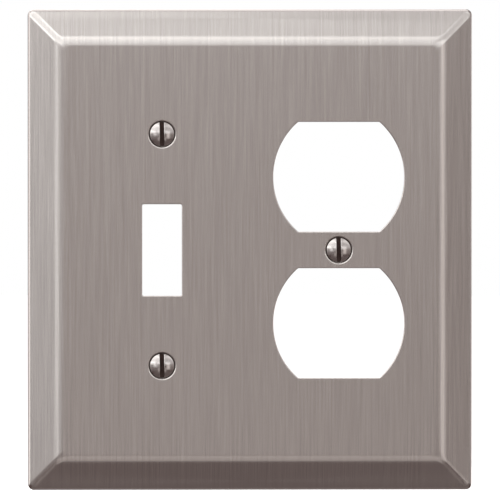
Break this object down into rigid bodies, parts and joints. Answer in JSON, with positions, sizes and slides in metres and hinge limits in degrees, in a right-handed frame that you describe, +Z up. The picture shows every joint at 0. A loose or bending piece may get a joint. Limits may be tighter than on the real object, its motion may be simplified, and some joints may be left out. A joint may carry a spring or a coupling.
{
  "type": "wall plate",
  "caption": "Stamped brushed-nickel wall plate with a bevelled edge, an opening for a toggle switch beside openings for a duplex receptacle, and slotted oval-head screws.",
  "frame": {"origin": "centre of the plate's outline, on the surface of the wall that its rim meets", "axes": "+X to the right and +Z up for someone facing the plate, +Y into the wall; the front faces -Y"},
  "size_m": [0.1158, 0.0137, 0.1254],
  "materials": {
    "brushed_nickel": "steel sheet, nickel plated and brushed from top to bottom, satin",
    "polished_nickel": "steel, nickel plated, smooth and fairly bright"
  },
  "bodies": {
    "plate": {"wall_plate": "brushed_nickel"},
    "toggle_screw_upper": {"toggle_screw_upper": "polished_nickel"},
    "toggle_screw_lower": {"toggle_screw_lower": "polished_nickel"},
    "receptacle_screw": {"receptacle_screw": "polished_nickel"}
  },
  "joints": [
    {"name": "toggle_screw_upper_turn", "type": "hinge", "parent": "plate", "child": "toggle_screw_upper", "pos_m": [-0.02302, -0.0057, 0.03016], "axis": [0, 1, 0], "continuous": true},
    {"name": "toggle_screw_lower_turn", "type": "hinge", "parent": "plate", "child": "toggle_screw_lower", "pos_m": [-0.02302, -0.0057, -0.03016], "axis": [0, 1, 0], "continuous": true},
    {"name": "receptacle_screw_turn", "type": "hinge", "parent": "plate", "child": "receptacle_screw", "pos_m": [0.02302, -0.0057, 0], "axis": [0, 1, 0], "continuous": true}
  ]
}
